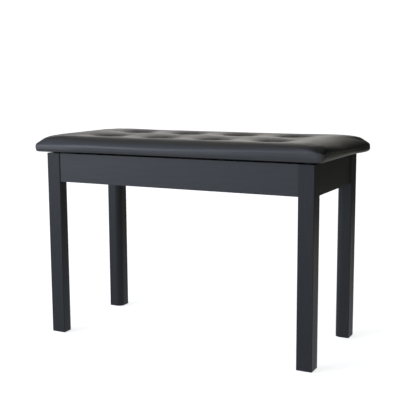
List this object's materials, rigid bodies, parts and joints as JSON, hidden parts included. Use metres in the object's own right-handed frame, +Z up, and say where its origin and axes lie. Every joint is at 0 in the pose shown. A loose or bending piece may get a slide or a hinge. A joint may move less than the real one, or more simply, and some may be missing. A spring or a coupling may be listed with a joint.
{
  "type": "piano bench",
  "caption": "Duet piano bench with a tufted, padded lid hinged over a shallow storage box, held open by slotted lid stays, on square wooden legs.",
  "frame": {"origin": "centre of the bench's footprint, on the floor", "axes": "+X to the right end, +Y to the rear where the hinges are, +Z up"},
  "size_m": [0.752, 0.356, 0.504],
  "materials": {
    "black_wood": "black lacquer, satin, fine open grain",
    "raw_wood": "unfinished",
    "panel": "black painted hardboard",
    "plywood": "unfinished plywood",
    "foam": "upholstery foam",
    "cover": "black leatherette, soft sheen",
    "dust_cloth": "non-woven cloth",
    "glide": "black nylon",
    "bumper": "soft rubber",
    "zinc_steel": "zinc plated",
    "fastener_steel": "plated"
  },
  "bodies": {
    "frame": {"leg_front_left": "black_wood", "leg_front_right": "black_wood", "leg_rear_left": "black_wood", "leg_rear_right": "black_wood", "glide_front_left": "glide", "glide_front_right": "glide", "glide_rear_left": "glide", "glide_rear_right": "glide", "front_apron": "black_wood", "rear_apron": "black_wood", "left_apron": "black_wood", "right_apron": "black_wood", "apron_dowels": "raw_wood", "bottom_panel": "panel", "front_cleat": "black_wood", "rear_cleat": "black_wood", "left_cleat": "black_wood", "right_cleat": "black_wood", "cleat_screws": "fastener_steel", "panel_screws": "fastener_steel", "bracket_front_left": "zinc_steel", "bracket_front_right": "zinc_steel", "bracket_rear_left": "zinc_steel", "bracket_rear_right": "zinc_steel", "bracket_screws": "fastener_steel", "leg_bolts": "fastener_steel", "leg_washers": "fastener_steel", "leg_nuts": "fastener_steel", "bumper_front_left": "bumper", "bumper_front_right": "bumper", "bumper_rear_left": "bumper", "bumper_rear_right": "bumper", "hinge_frame_leaf_left": "zinc_steel", "hinge_frame_leaf_right": "zinc_steel", "hinge_pin_left": "fastener_steel", "hinge_pin_right": "fastener_steel", "hinge_frame_screws": "fastener_steel", "stay_plate_left": "zinc_steel", "stay_plate_right": "zinc_steel", "stay_rivet_left": "fastener_steel", "stay_rivet_right": "fastener_steel", "stay_plate_screws": "fastener_steel"},
    "lid": {"hinge_lid_leaf_left": "zinc_steel", "hinge_lid_leaf_right": "zinc_steel", "hinge_lid_screws": "fastener_steel", "stay_rail_left": "zinc_steel", "stay_rail_right": "zinc_steel", "stay_rail_screws": "fastener_steel", "seat_board": "plywood", "seat_foam": "foam", "seat_cover": "cover", "dust_cover": "dust_cloth", "tuft_buttons": "cover"},
    "stay_left": {"stay_arm_left": "zinc_steel", "stay_stud_left": "fastener_steel"},
    "stay_right": {"stay_arm_right": "zinc_steel", "stay_stud_right": "fastener_steel"}
  },
  "joints": [
    {"name": "lid_hinge", "type": "hinge", "parent": "frame", "child": "lid", "pos_m": [0, 0.154, 0.46125], "axis": [-1, 0, 0], "range_deg": [0, 70]},
    {"name": "stay_pivot_left", "type": "hinge", "parent": "frame", "child": "stay_left", "pos_m": [-0.3275, 0.02401, 0.43833], "axis": [-1, 0, 0], "range_deg": [0, 140]},
    {"name": "stay_pivot_right", "type": "hinge", "parent": "frame", "child": "stay_right", "pos_m": [0.3275, 0.02401, 0.43833], "axis": [-1, 0, 0], "range_deg": [0, 140]}
  ],
  "couplings": [
    {"joint": "stay_pivot_left", "follows": "lid_hinge", "ratio": 2},
    {"joint": "stay_pivot_right", "follows": "lid_hinge", "ratio": 2}
  ]
}
